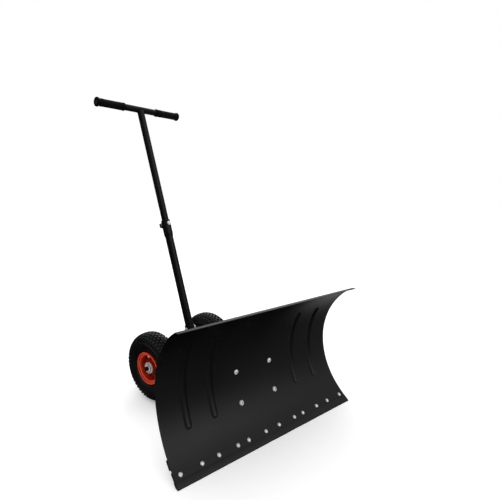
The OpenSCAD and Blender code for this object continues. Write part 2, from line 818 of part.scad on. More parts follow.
module tyre_left() { color([0.05, 0.05, 0.05]) on_wheel(-1) tyre(); }
module tyre_right() { color([0.05, 0.05, 0.05]) on_wheel(1) tyre(); }
module inner_tube_left() { color([0.12, 0.12, 0.12]) on_wheel(-1) inner_tube(); }
module inner_tube_right() { color([0.12, 0.12, 0.12]) on_wheel(1) inner_tube(); }
module rim_outer_left() { rims(-1, true); }
module rim_outer_right() { rims(1, true); }
module rim_inner_left() { rims(-1, false); }
module rim_inner_right() { rims(1, false); }
module hub_left() { color([0.8, 0.8, 0.8]) on_wheel(-1) hub(); }
module hub_right() { color([0.8, 0.8, 0.8]) on_wheel(1) hub(); }
module bearings_left() { color([0.7, 0.7, 0.72]) on_wheel(-1) bearings(); }
module bearings_right() { color([0.7, 0.7, 0.72]) on_wheel(1) bearings(); }
module rim_bolts_left() { color([0.75, 0.75, 0.77]) on_wheel(-1) rim_bolts(); }
module rim_bolts_right() { color([0.75, 0.75, 0.77]) on_wheel(1) rim_bolts(); }
module rim_nuts_left() { color([0.75, 0.75, 0.77]) on_wheel(-1) rim_nuts(); }
module rim_nuts_right() { color([0.75, 0.75, 0.77]) on_wheel(1) rim_nuts(); }
module valve_left() { color([0.2, 0.2, 0.2]) on_wheel(-1) valve(); }
module valve_right() { color([0.2, 0.2, 0.2]) on_wheel(1) valve(); }

to_rest() blade_sheet();
to_rest() blade_stiffener();
to_rest() scraper_strip();
to_rest() scraper_clamp_bar();
to_rest() scraper_bolts();
to_rest() scraper_washers();
to_rest() scraper_nuts();
to_rest() blade_bracket();
to_rest() bracket_bolts();
to_rest() bracket_washers();
to_rest() bracket_nuts();
to_rest() main_frame();
to_rest() frame_end_cap();
to_rest() swivel_bolt();
to_rest() swivel_nut();
to_rest() swivel_washers();
to_rest() thrust_washers();
to_rest() clamp_stud();
to_rest() clamp_washer();
to_rest() swivel_knob();
to_rest() axle();
to_rest() axle_spacers();
to_rest() axle_washers();
to_rest() split_pins();
to_rest() mast_lower();
to_rest() mast_foot_bolts();
to_rest() mast_foot_nuts();
to_rest() mast_collar();
to_rest() collar_bolt();
to_rest() collar_washers();
to_rest() collar_knob();
to_rest() mast_upper();
to_rest() cross_tube();
to_rest() grip_left();
to_rest() grip_right();
to_rest() bar_end_plugs();
to_rest() tyre_left();
to_rest() inner_tube_left();
to_rest() rim_outer_left();
to_rest() rim_inner_left();
to_rest() hub_left();
to_rest() bearings_left();
to_rest() rim_bolts_left();
to_rest() rim_nuts_left();
to_rest() valve_left();
to_rest() tyre_right();
to_rest() inner_tube_right();
to_rest() rim_outer_right();
to_rest() rim_inner_right();
to_rest() hub_right();
to_rest() bearings_right();
to_rest() rim_bolts_right();
to_rest() rim_nuts_right();
to_rest() valve_right();
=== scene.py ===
import json
import math

import bmesh
import bpy
from mathutils import Matrix, Vector, noise


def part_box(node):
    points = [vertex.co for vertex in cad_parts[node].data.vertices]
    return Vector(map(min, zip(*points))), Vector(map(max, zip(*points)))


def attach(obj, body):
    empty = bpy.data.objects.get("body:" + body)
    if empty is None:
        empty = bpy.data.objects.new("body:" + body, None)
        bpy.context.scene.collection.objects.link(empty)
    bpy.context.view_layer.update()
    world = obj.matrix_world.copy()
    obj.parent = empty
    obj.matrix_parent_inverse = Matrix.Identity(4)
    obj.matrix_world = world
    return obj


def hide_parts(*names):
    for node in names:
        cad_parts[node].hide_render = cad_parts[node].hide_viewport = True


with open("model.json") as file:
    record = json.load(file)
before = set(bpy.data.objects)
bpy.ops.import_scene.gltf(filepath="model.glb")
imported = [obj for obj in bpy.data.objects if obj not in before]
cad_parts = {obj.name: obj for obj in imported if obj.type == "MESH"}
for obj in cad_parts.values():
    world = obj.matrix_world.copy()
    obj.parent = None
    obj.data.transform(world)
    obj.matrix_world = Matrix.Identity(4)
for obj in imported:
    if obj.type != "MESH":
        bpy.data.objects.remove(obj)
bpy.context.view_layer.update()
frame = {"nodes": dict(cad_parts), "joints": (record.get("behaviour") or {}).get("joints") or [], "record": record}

MM = 0.001
TINY = 1e-6
NODES = frame["nodes"]
JOINTS = {joint["name"]: joint for joint in frame["joints"]}
scene = bpy.context.scene

# ---------- places, in metres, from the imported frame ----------

SWIVEL = Vector(JOINTS["blade_swivel"]["pos_m"])
FOOT = Vector((SWIVEL.x, SWIVEL.y, 0))
MAST_UP = Vector(JOINTS["handle_slide"]["axis"]).normalized()
MAST_LEAN = math.atan2(MAST_UP.y, MAST_UP.z)
WHEELS = {side: Vector(JOINTS["wheel_" + side + "_spin"]["pos_m"]) for side in ("left", "right")}
COLLAR_BOLT = Vector(JOINTS["collar_knob_turn"]["pos_m"])

# blade: the same driving sizes as the CAD sheet
BLADE_W = 740 * MM
BLADE_R = 249 * MM
SHEET_T = 1.5 * MM
ROLL = math.radians(111)
RAKE = math.radians(51.4)
TOE = 17 * MM
TOP_LIP = 15 * MM
RUBBER_SHOW = 21.4 * MM
BLADE_TURN = math.radians(-12.5)
SWIVEL_BACK = 180 * MM
LIP_T = 10 * MM
RIB_XS = (182 * MM, 278 * MM)
RIB_ENDS = (117 * MM, 375 * MM)

TOE_Y = -SWIVEL_BACK
TOE_Z = RUBBER_SHOW * math.cos(RAKE) + SHEET_T * math.sin(RAKE)
ARC_Y = TOE_Y + TOE * math.sin(RAKE) - BLADE_R * math.cos(RAKE)
ARC_Z = TOE_Z + TOE * math.cos(RAKE) + BLADE_R * math.sin(RAKE)
BLADE_FRAME = Matrix.Translation(FOOT) @ Matrix.Rotation(BLADE_TURN, 4, "Z")


def on_sheet(s, x, out=0.0):
    """Point on the blade at length s from the toe, out metres in front of the face."""
    a = RAKE - max(s - TOE, 0) / BLADE_R
    toe_part = TOE - min(s, TOE)
    y = ARC_Y + BLADE_R * math.cos(a) - toe_part * math.sin(RAKE)
    z = ARC_Z - BLADE_R * math.sin(a) - toe_part * math.cos(RAKE)
    return Vector((x, y - out * math.cos(a), z + out * math.sin(a)))


# ---------- mesh helpers ----------


def make(name, verts, faces, matrix, body, slot, material, sharp=35):
    """A piece from vertices and faces in its own frame, put in place by matrix and riding a body."""
    mesh = bpy.data.meshes.new(name)
    mesh.from_pydata([tuple(v) for v in verts], [], faces)
    work = bmesh.new()
    work.from_mesh(mesh)
    bmesh.ops.remove_doubles(work, verts=work.verts, dist=TINY)
    bmesh.ops.recalc_face_normals(work, faces=work.faces)
    work.to_mesh(mesh)
    work.free()
    mesh.transform(matrix)
    mesh.update()
    for face in mesh.polygons:
        face.use_smooth = True
    mesh.set_sharp_from_angle(angle=math.radians(sharp))
    mesh.materials.append(material)
    piece = bpy.data.objects.new(name, mesh)
    scene.collection.objects.link(piece)
    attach(piece, body)
    return piece


def rounded(points, radius, steps=4):
    """Closed outline with its corners rounded; a point's third number is its own radius."""
    out = []
    count = len(points)
    for i, point in enumerate(points):
        here = Vector(point[:2])
        before = Vector(points[i - 1][:2]) - here
        after = Vector(points[(i + 1) % count][:2]) - here
        r = point[2] if len(point) > 2 else radius
        angle = before.angle(after, math.pi)
        if r < TINY or angle > math.radians(176):
            out.append(tuple(here))
            continue
        reach = min(r / math.tan(angle / 2), before.length * 0.49, after.length * 0.49)
        r = reach * math.tan(angle / 2)
        p1 = here + before.normalized() * reach
        p2 = here + after.normalized() * reach
        middle = here + (before.normalized() + after.normalized()).normalized() * (r / math.sin(angle / 2))
        start = p1 - middle
        turn = start.angle_signed(p2 - middle)
        for k in range(steps + 1):
            out.append(tuple(middle + Matrix.Rotation(-turn * k / steps, 2) @ start))
    return out


def lathe(outline, segments, wave=None):
    """Closed (radius, height) outline turned about +Z; wave(angle, radius, height) may move each point."""
    verts = []
    faces = []
    n = len(outline)
    for i in range(segments):
        a = 2 * math.pi * i / segments
        for r, z in outline:
            r2, z2 = wave(a, r, z) if wave else (r, z)
            verts.append((r2 * math.cos(a), r2 * math.sin(a), z2))
    for i in range(segments):
        for k in range(n):
            i2 = (i + 1) % segments
            k2 = (k + 1) % n
            faces.append((i * n + k, i2 * n + k, i2 * n + k2, i * n + k2))
    return verts, faces


def prism(outline, stations, place):
    """Closed outline carried along stations; place(point, station) gives each vertex."""
    verts = [place(p, t) for t in stations for p in outline]
    n = len(outline)
    faces = []
    for i in range(len(stations) - 1):
        for k in range(n):
            k2 = (k + 1) % n
            faces.append((i * n + k, i * n + k2, (i + 1) * n + k2, (i + 1) * n + k))
    last = (len(stations) - 1) * n
    faces.append(tuple(range(n)))
    faces.append(tuple(last + k for k in reversed(range(n))))
    return verts, faces


def merged(*parts):
    """Several (vertices, faces) pairs as one."""
    verts = []
    faces = []
    for part_verts, part_faces in parts:
        start = len(verts)
        verts += list(part_verts)
        faces += [tuple(start + i for i in face) for face in part_faces]
    return verts, faces


def moved(part, matrix):
    """A (vertices, faces) pair with its vertices put through matrix."""
    verts, faces = part
    return [matrix @ Vector(v) for v in verts], faces


def weld_bead(path, radius, closed=True, ripple=2.6 * MM):
    """Weld bead along a path: a low tube with the ripples of its stacked puddles."""
    around = 8
    per_ripple = 4
    path = [Vector(p) for p in path]
    length = sum((path[i] - path[i - 1]).length for i in range(0 if closed else 1, len(path)))
    steps = max(8, int(length / (ripple / per_ripple)))
    pairs = list(zip(path, path[1:] + path[:1])) if closed else list(zip(path, path[1:]))
    lengths = [(b - a).length for a, b in pairs]
    rings = []
    for i in range(steps if closed else steps + 1):
        d = length * i / steps
        k = 0
        while k < len(pairs) - 1 and d > lengths[k]:
            d -= lengths[k]
            k += 1
        a, b = pairs[k]
        tangent = (b - a).normalized()
        centre = a + tangent * min(d, lengths[k])
        side = tangent.orthogonal().normalized()
        up = tangent.cross(side)
        ripple_turn = 2 * math.pi * (i % per_ripple) / per_ripple
        swell = 1 + 0.14 * math.cos(ripple_turn) + 0.1 * noise.noise(centre * 300)
        rings.append([centre + (side * math.cos(t) + up * math.sin(t)) * radius * swell
                      for t in (2 * math.pi * j / around for j in range(around))])
    verts = [v for ring in rings for v in ring]
    faces = []
    for i in range(len(rings) if closed else len(rings) - 1):
        i2 = (i + 1) % len(rings)
        # each ring starts at its own side vector, so match it to the nearest start of the next
        shift = min(range(around), key=lambda q: (rings[i][0] - rings[i2][q]).length)
        here, ahead = i * around, i2 * around
        for j in range(around):
            j2 = (j + 1) % around
            faces.append((here + j, here + j2, ahead + (j2 + shift) % around, ahead + (j + shift) % around))
    return verts, faces


# ---------- materials ----------


class Graph:
    """Node graph of one material, with short calls for the nodes it uses."""

    def __init__(self, name):
        self.material = bpy.data.materials.new(name)
        self.material.use_nodes = True
        self.tree = self.material.node_tree
        self.shader = self.tree.nodes["Principled BSDF"]
        self.place = self.node("ShaderNodeTexCoord").outputs["Object"]

    def node(self, kind, **values):
        made = self.tree.nodes.new(kind)
        for key, value in values.items():
            setattr(made, key, value)
        return made

    def link(self, source, target):
        self.tree.links.new(source, target)

    def feed(self, socket, value):
        if isinstance(value, bpy.types.NodeSocket):
            self.link(value, socket)
        else:
            socket.default_value = value

    def noise(self, scale, detail=3.0, rough=0.5, stretch=(1, 1, 1)):
        mapping = self.node("ShaderNodeMapping")
        mapping.inputs["Scale"].default_value = stretch
        self.link(self.place, mapping.inputs["Vector"])
        texture = self.node("ShaderNodeTexNoise")
        texture.inputs["Scale"].default_value = scale
        texture.inputs["Detail"].default_value = detail
        texture.inputs["Roughness"].default_value = rough
        self.link(mapping.outputs["Vector"], texture.inputs["Vector"])
        return texture.outputs["Fac"]

    def cells(self, scale):
        texture = self.node("ShaderNodeTexVoronoi")
        texture.inputs["Scale"].default_value = scale
        self.link(self.place, texture.inputs["Vector"])
        return texture

    def remap(self, value, low, high, out_low, out_high):
        made = self.node("ShaderNodeMapRange")
        made.clamp = True
        self.feed(made.inputs["Value"], value)
        for key, number in (("From Min", low), ("From Max", high), ("To Min", out_low), ("To Max", out_high)):
            made.inputs[key].default_value = number
        return made.outputs["Result"]

    def math(self, operation, a, b):
        made = self.node("ShaderNodeMath", operation=operation)
        self.feed(made.inputs[0], a)
        self.feed(made.inputs[1], b)
        return made.outputs["Value"]

    def mix(self, factor, a, b):
        made = self.node("ShaderNodeMix", data_type="RGBA")
        self.feed(made.inputs["Factor"], factor)
        self.feed(made.inputs["A"], a)
        self.feed(made.inputs["B"], b)
        return made.outputs["Result"]

    def edges(self, radius, low=0.9, high=0.995):
        """1 along a piece's sharp edges and 0 on its faces."""
        bevel = self.node("ShaderNodeBevel")
        bevel.samples = 4
        bevel.inputs["Radius"].default_value = radius
        geometry = self.node("ShaderNodeNewGeometry")
        dot = self.node("ShaderNodeVectorMath", operation="DOT_PRODUCT")
        self.link(bevel.outputs["Normal"], dot.inputs[0])
        self.link(geometry.outputs["Normal"], dot.inputs[1])
        return self.remap(dot.outputs["Value"], low, high, 1.0, 0.0)

    def occlusion_shade(self, distance, low=0.35, high=0.95):
        """1 where ambient occlusion finds a piece shut in and 0 where it is open; used as a mask for painted
        shade.
        """
        shade = self.node("ShaderNodeAmbientOcclusion")
        shade.samples = 6
        shade.inputs["Distance"].default_value = distance
        return self.remap(shade.outputs["AO"], low, high, 1.0, 0.0)

    def bump(self, height, strength, distance):
        made = self.node("ShaderNodeBump")
        made.inputs["Strength"].default_value = strength
        made.inputs["Distance"].default_value = distance
        self.link(height, made.inputs["Height"])
        self.link(made.outputs["Normal"], self.shader.inputs["Normal"])

    def finish(self, colour, rough, metallic=0.0, specular=0.5):
        self.feed(self.shader.inputs["Base Color"], colour)
        self.feed(self.shader.inputs["Roughness"], rough)
        self.feed(self.shader.inputs["Metallic"], metallic)
        self.feed(self.shader.inputs["Specular IOR Level"], specular)
        return self.material


def grey(value, warm=0.0):
    """Grey colour, tinted warm by a share of its value."""
    return (value * (1 + warm), value, value * (1 - warm), 1)


def powder_coat(name, base, rough, specular=0.5, worn=0.06):
    """Satin powder coat: orange peel, cloudy sheen, dust and rubbed edges."""
    g = Graph(name)
    peel = g.noise(1500, 2)
    cloud = g.noise(5, 4, 0.55)
    scuffs = g.noise(60, 6, 0.7, (1, 1, 0.25))
    dark = grey(base * 0.8)
    light = grey(base * 1.25)
    colour = g.mix(g.remap(cloud, 0.3, 0.7, 0, 1), dark, light)
    wear = g.math("MULTIPLY", g.edges(1.2 * MM), g.remap(scuffs, 0.48, 0.62, 0.1, 1.0))
    colour = g.mix(wear, colour, grey(worn))
    rough_value = g.remap(cloud, 0.3, 0.7, rough - 0.05, rough + 0.05)
    rough_value = g.math("ADD", rough_value, g.remap(scuffs, 0.62, 0.75, 0, 0.12))
    g.bump(peel, 0.12, 0.15 * MM)
    return g.finish(colour, rough_value, 0, specular)


def rubber(name, base, rough, grain=900, dust=0.02, warm=0.03, specular=0.35):
    """Rubber: fine moulded grain, a dull bloom in patches, paler edges and painted shade that darkens its
    recesses.
    """
    g = Graph(name)
    fine = g.noise(grain, 3, 0.6)
    bloom = g.noise(22, 5, 0.6)
    colour = g.mix(g.remap(bloom, 0.35, 0.7, 0, 1), grey(base, warm), grey(base * 1.7, warm))
    colour = g.mix(g.math("MULTIPLY", g.edges(1.0 * MM), 0.5), colour, grey(dust, warm))
    # painted shade: recesses darkened towards near black, and their reflection taken away
    painted_recess_shade = g.occlusion_shade(7 * MM)
    colour = g.mix(painted_recess_shade, colour, grey(base * 0.2, warm))
    rough_value = g.remap(bloom, 0.3, 0.7, rough - 0.07, rough + 0.07)
    g.bump(fine, 0.2, 0.15 * MM)
    return g.finish(colour, rough_value, 0, g.remap(painted_recess_shade, 0.1, 0.8, specular, 0.02))


def zinc_plate(name, base=0.95, rough=0.3, metallic=0.4):
    """Passivated zinc plating: spangled patches, fine scratches, bright edges and painted shade in its recesses.
    """
    g = Graph(name)
    spangle = g.cells(420)
    scratch = g.noise(1400, 3, 0.6, (1, 0.15, 1))
    tint = g.mix(g.remap(spangle.outputs["Distance"], 0, 0.8, 0, 1), (base, base, base * 1.02, 1),
                 (base * 0.8, base * 0.79, base * 0.76, 1))
    rough_value = g.remap(scratch, 0.3, 0.7, rough - 0.07, rough + 0.1)
    colour = g.mix(g.math("MULTIPLY", g.edges(0.6 * MM), 0.4), tint, grey(base * 1.15))
    # painted shade: darker where the plating is shut in
    colour = g.mix(g.occlusion_shade(4 * MM), colour, grey(base * 0.12))
    g.bump(scratch, 0.1, 0.1 * MM)
    return g.finish(colour, rough_value, metallic)


def moulded_plastic(name, base=0.01, rough=0.42):
    """Moulded plastic: a fine spark-eroded grain with cloudy gloss."""
    g = Graph(name)
    grain = g.cells(2600)
    cloud = g.noise(40, 3)
    colour = g.mix(g.remap(cloud, 0.3, 0.7, 0, 1), grey(base), grey(base * 1.5))
    colour = g.mix(g.math("MULTIPLY", g.edges(0.8 * MM), 0.5), colour, grey(base * 3 + 0.01))
    g.bump(grain.outputs["Distance"], 0.25, 0.1 * MM)
    return g.finish(colour, g.remap(cloud, 0.3, 0.7, rough - 0.06, rough + 0.08), 0, 0.45)


def rim_enamel(name):
    """Orange-red enamel: bright on the lip, with a painted highlight along its edges and mottled painted shade
    darkening the dish.
    """
    g = Graph(name)
    cloud = g.noise(45, 5, 0.6)
    speck = g.noise(190, 4, 0.65)
    colour = g.mix(g.remap(cloud, 0.35, 0.65, 0, 1), (0.52, 0.03, 0.008, 1), (0.64, 0.055, 0.014, 1))
    # painted highlight: brighter orange along the edges
    colour = g.mix(g.math("MULTIPLY", g.edges(1.6 * MM, 0.8, 0.98), 0.6), colour, (0.75, 0.16, 0.07, 1))
    # painted shade: the dish darkened to deep red where it is shut in, mottled by noise, with its reflection taken
    # away
    painted_recess_shade = g.occlusion_shade(30 * MM, 0.55, 0.97)
    mottled_painted_shade = g.math("MULTIPLY", painted_recess_shade, g.remap(speck, 0.4, 0.6, 1.0, 0.55))
    colour = g.mix(mottled_painted_shade, colour, (0.13, 0.002, 0.001, 1))
    g.bump(g.noise(700, 2), 0.12, 0.15 * MM)
    return g.finish(colour, g.remap(cloud, 0.3, 0.7, 0.28, 0.42), 0, g.remap(mottled_painted_shade, 0, 0.6, 0.5, 0.05))


def nylon(name):
    """Off-white nylon with a cloudy tone and a fine grain."""
    g = Graph(name)
    cloud = g.noise(80, 4)
    colour = g.mix(cloud, (0.62, 0.6, 0.52, 1), (0.75, 0.74, 0.68, 1))
    g.bump(g.noise(1200, 2), 0.15, 0.1 * MM)
    return g.finish(colour, g.remap(cloud, 0.3, 0.7, 0.4, 0.55), 0, 0.4)


BLADE_PAINT = powder_coat("blade_powder_coat", 0.0025, 0.36, 0.36, 0.015)
FRAME_PAINT = powder_coat("frame_powder_coat", 0.002, 0.4, 0.26, 0.015)
TYRE_RUBBER = rubber("tyre_rubber", 0.0018, 0.34, 900, 0.03, 0.0, 0.75)
SCRAPER_RUBBER = rubber("scraper_rubber", 0.0025, 0.38, 1500, 0.004, 0.03, 0.4)
GRIP_RUBBER = rubber("grip_rubber", 0.0016, 0.5, 1400, 0.006, 0.03, 0.12)
TUBE_RUBBER = rubber("inner_tube_rubber", 0.015, 0.5)
ZINC = zinc_plate("zinc_plate")
STEEL = zinc_plate("bearing_steel", 0.6, 0.22, 0.8)
PLASTIC = moulded_plastic("black_plastic")
RIM_PAINT = rim_enamel("rim_enamel")
NYLON = nylon("white_nylon")
FINISHES = {"blade_paint": BLADE_PAINT, "frame_paint": FRAME_PAINT, "rim_paint": RIM_PAINT,
            "tyre_rubber": TYRE_RUBBER, "scraper_rubber": SCRAPER_RUBBER, "grip_rubber": GRIP_RUBBER,
            "tube_rubber": TUBE_RUBBER, "zinc": ZINC, "steel": STEEL, "black_plastic": PLASTIC, "nylon": NYLON}

for subpart in frame["record"]["subparts"]:
    node = NODES[subpart["node"]]
    node.data.materials.clear()
    node.data.materials.append(FINISHES[subpart["material_slot"]])

# ---------- blade sheet ----------


def rib_depth(x, s):
    """How far the face is pressed back at (x, s) by the nearest rib, in metres."""
    bead_r = 18 * MM
    sink = 13.5 * MM
    soft = 0.25 * MM
    deepest = 0.0
    for rib_x in RIB_XS:
        beyond = max(RIB_ENDS[0] - s, s - RIB_ENDS[1], 0)
        away = math.hypot(abs(x) - rib_x, beyond)
        if away < bead_r:
            depth = math.sqrt(bead_r**2 - away**2) - sink
            depth = 0.5 * (depth + math.sqrt(depth * depth + soft * soft))
            deepest = max(deepest, depth - 0.5 * (math.sqrt(sink * sink + soft * soft) - sink))
    return deepest


def spread(low, high, coarse, fine, bands):
    """Numbers from low to high, coarse apart, or fine apart inside the bands."""
    out = [low]
    while out[-1] < high - TINY:
        here = out[-1]
        near = any(a <= here < b for a, b in bands)
        ahead = [a for a, b in bands if a > here]
        step = fine if near else coarse
        if not near and ahead and here + step > min(ahead):
            step = max(min(ahead) - here, fine * 0.5)
        out.append(min(here + step, high))
    return out


def blade_skin():
    """The rolled sheet with its pressed ribs and the level lip along its top edge."""
    half = BLADE_W / 2
    bend_r = 3.5 * MM
    reach = 15 * MM
    top = TOE + BLADE_R * ROLL - 1.0 * MM
    x_bands = [(side * x - reach, side * x + reach) for x in RIB_XS for side in (-1, 1)]
    s_bands = [(end - reach, end + reach) for end in RIB_ENDS]
    xs = spread(-half, half, 8 * MM, 1.2 * MM, x_bands)
    rows = []
    for s in spread(0, top, 5 * MM, 1.4 * MM, s_bands):
        rows.append([])
        for x in xs:
            wave = 0.18 * MM * noise.noise(Vector((x * 6, s * 6, 3.7)))
            back = rib_depth(x, s) + wave
            rows[-1].append((on_sheet(s, x, -back), on_sheet(s, x, -back - SHEET_T)))
    # bend: the face turns from its own direction to level, then runs forward as the lip
    start = RAKE - (top - TOE) / BLADE_R
    edge = on_sheet(top, 0)
    centre = edge + Vector((0, math.cos(start), -math.sin(start))) * bend_r
    turn = math.pi / 2 + start
    for k in range(1, 6):
        a = start - turn * k / 5
        out = Vector((0, -math.cos(a), math.sin(a)))
        front = centre + out * bend_r
        rear = centre + out * (bend_r - SHEET_T)
        rows.append([(front + Vector((x, 0, 0)), rear + Vector((x, 0, 0))) for x in xs])
    for k in range(1, 7):
        run = Vector((0, -(TOP_LIP - bend_r * math.sin(turn)) * k / 6, 0))
        rows.append([(front + run + Vector((x, 0, 0)), rear + run + Vector((x, 0, 0))) for x in xs])
    n = len(xs)
    m = len(rows)
    verts = [pair[0] for row in rows for pair in row] + [pair[1] for row in rows for pair in row]
    layer = n * m
    faces = []
    for j in range(m - 1):
        for i in range(n - 1):
            a, b, c, d = j * n + i, j * n + i + 1, (j + 1) * n + i + 1, (j + 1) * n + i
            faces.append((a, b, c, d))
            faces.append((layer + d, layer + c, layer + b, layer + a))
    for j in range(m - 1):
        for i in (0, n - 1):
            a, d = j * n + i, (j + 1) * n + i
            faces.append((a, d, layer + d, layer + a))
    for i in range(n - 1):
        for j in (0, m - 1):
            a, b = j * n + i, j * n + i + 1
            faces.append((a, b, layer + b, layer + a))
    return verts, faces


skin = make("blade_sheet_skin", *blade_skin(), BLADE_FRAME, "blade", "blade_paint", BLADE_PAINT, sharp=40)
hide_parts("blade_sheet")


def scraper():
    """Rubber strip: wear lip cut level with the ground and a thin tongue behind the sheet."""
    gap = 0.03 * MM
    bevel = 3.6 * MM
    tongue_t = 5 * MM
    tongue_up = 24 * MM
    start = 0.02 * MM
    outline = []
    ground = -TOE_Z / math.cos(RAKE)
    # points with no length of their own lie on the ground
    for s, out in ((-gap, 0), (ground + bevel, 0), (None, -1.5 * MM), (None, -LIP_T), (-gap, -LIP_T),
                   (-gap, -SHEET_T - tongue_t), (tongue_up, -SHEET_T - tongue_t), (tongue_up, -SHEET_T - start),
                   (-gap, -SHEET_T - start)):
        if s is None:
            s = -(TOE_Z + out * math.sin(RAKE)) / math.cos(RAKE)
        point = on_sheet(s, 0, out)
        outline.append((point.y, point.z))
    outline = rounded(outline, 0.4 * MM, 3)
    half = BLADE_W / 2 + 1 * MM
    stations = [half * (k / 40 - 1) for k in range(81)]

    def place(p, x):
        wave = 0.35 * MM * noise.noise(Vector((x * 18, p[1] * 40, 9.1)))
        return Vector((x, p[0] + wave, max(p[1] + wave * 0.4, 0)))

    return prism(outline, stations, place)


strip = make("scraper_rubber_strip", *scraper(), BLADE_FRAME, "blade", "scraper_rubber", SCRAPER_RUBBER)
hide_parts("scraper_strip")

# ---------- wheels ----------

TYRE_R = 128.5 * MM
RIM_R = 61.4 * MM
BLOCK_H = 5 * MM
BLOCKS_ROUND = 48
BLOCK_LONG = 10.4 * MM
BLOCK_WIDE = 7.6 * MM
BLOCK_SKEW = 1.0 * MM
ROW_PITCH = 11.2 * MM
ROW_HEIGHTS = (5 * MM, 5 * MM, 4.6 * MM, 4 * MM, 3 * MM)


def curve_through(points, per_span):
    """Smooth Catmull-Rom curve through points."""
    out = []
    pts = [Vector(p) for p in points]
    for i in range(len(pts) - 1):
        p0 = pts[i - 1] if i else pts[0] * 2 - pts[1]
        p1, p2 = pts[i], pts[i + 1]
        p3 = pts[i + 2] if i + 2 < len(pts) else pts[-1] * 2 - pts[-2]
        for k in range(per_span):
            t = k / per_span
            out.append(0.5 * (2 * p1 + (p2 - p0) * t + (2 * p0 - 5 * p1 + 4 * p2 - p3) * t * t
                              + (3 * p1 - p0 - 3 * p2 + p3) * t**3))
    out.append(pts[-1])
    return out


CROWN = TYRE_R - BLOCK_H
SIDE = [(CROWN, 0), (CROWN - 0.7 * MM, 12 * MM), (CROWN - 3.2 * MM, 22 * MM), (CROWN - 7.8 * MM, 30.5 * MM),
        (109.5 * MM, 36 * MM), (101 * MM, 39.4 * MM), (91 * MM, 40.8 * MM), (81 * MM, 39.8 * MM),
        (73 * MM, 36.8 * MM), (66.5 * MM, 33.4 * MM), (61.5 * MM, 30.6 * MM)]
SIDE_CURVE = curve_through(SIDE, 8)


def carcass_at(t):
    """Point and outward normal (radius, width) on the carcass at arc length t from the crown."""
    d = abs(t)
    for a, b in zip(SIDE_CURVE, SIDE_CURVE[1:]):
        step = (b - a).length
        if d <= step:
            break
        d -= step
    along = (b - a).normalized()
    point = a + along * d
    normal = Vector((along.y, -along.x))
    if normal.x < 0 and abs(t) < 60 * MM:
        normal = -normal
    if t < 0:
        return Vector((point.x, -point.y)), Vector((normal.x, -normal.y))
    return point, normal


def tread_block(angle, t, long, wide, skew, height, base=1.0 * MM):
    """One rubber block on the carcass: long round the tyre, wide across it, with a chamfered top."""
    layers = ((1.0, -base), (0.93, height * 0.72), (0.78, height))
    verts = []
    for scale, lift in layers:
        for u, v in ((-1, -1), (0, -1), (1, -1), (1, 0), (1, 1), (0, 1), (-1, 1), (-1, 0)):
            point, normal = carcass_at(t + v * wide / 2 * scale)
            p = point + normal * lift
            a = angle + (u * long / 2 * scale + v * skew) / CROWN
            verts.append((p.x * math.cos(a), p.x * math.sin(a), p.y))
    faces = []
    for ring in range(2):
        for k in range(8):
            k2 = (k + 1) % 8
            faces.append((ring * 8 + k, ring * 8 + k2, (ring + 1) * 8 + k2, (ring + 1) * 8 + k))
    faces.append(tuple(16 + k for k in range(8)))
    faces.append(tuple(reversed(range(8))))
    return verts, faces


def tyre():
    """Carcass with bead, sidewall rings and rows of staggered tread blocks."""
    ridge_at = (95 * MM, 70.5 * MM)
    ridge_w = (1.8 * MM, 1.2 * MM)
    ridge_h = (2.0 * MM, 0.9 * MM)
    outer = []
    for i, p in enumerate(SIDE_CURVE):
        q = SIDE_CURVE[min(i + 1, len(SIDE_CURVE) - 1)] - SIDE_CURVE[max(i - 1, 0)]
        normal = Vector((q.y, -q.x)).normalized()
        outer.append((p, normal))
    # finer points where the sidewall rings rise
    fine = []
    for (p, n1), (q, n2) in zip(outer, outer[1:]):
        for k in range(3):
            t = k / 3
            fine.append((p.lerp(q, t), n1.lerp(n2, t)))
    fine.append(outer[-1])
    half = []
    for p, normal in fine:
        lift = 0.0
        for at, w, h in zip(ridge_at, ridge_w, ridge_h):
            lift += h * math.exp(-(((p.x - at) / w) ** 2)) if p.y > 20 * MM else 0
        if normal.y < 0 and p.y > 20 * MM:
            normal = -normal
        point = p + normal * lift
        half.append((point.x, point.y))
    bead = [(60.5 * MM, 28.9 * MM), (51 * MM, 28.7 * MM), (50.3 * MM, 27.5 * MM), (50.3 * MM, 20 * MM),
            (53 * MM, 19.4 * MM), (63 * MM, 22 * MM), (70 * MM, 29 * MM), (86 * MM, 35.6 * MM),
            (104 * MM, 31.5 * MM), (115 * MM, 21 * MM), (121.9 * MM, 8 * MM)]
    loop = half + bead
    mirror = [(r, -z) for r, z in reversed(loop) if z > TINY]
    carcass = lathe(loop + mirror, 168)
    pitch = 2 * math.pi / BLOCKS_ROUND
    blocks = []
    # rows from the crown to the shoulder
    for row, height in enumerate(ROW_HEIGHTS):
        for side in ((1,) if row == 0 else (1, -1)):
            for i in range(BLOCKS_ROUND):
                angle = (i + 0.5 * (row % 2)) * pitch
                blocks.append(tread_block(angle, side * row * ROW_PITCH, BLOCK_LONG, BLOCK_WIDE,
                                          side * BLOCK_SKEW, height))
    return merged(carcass, *blocks)


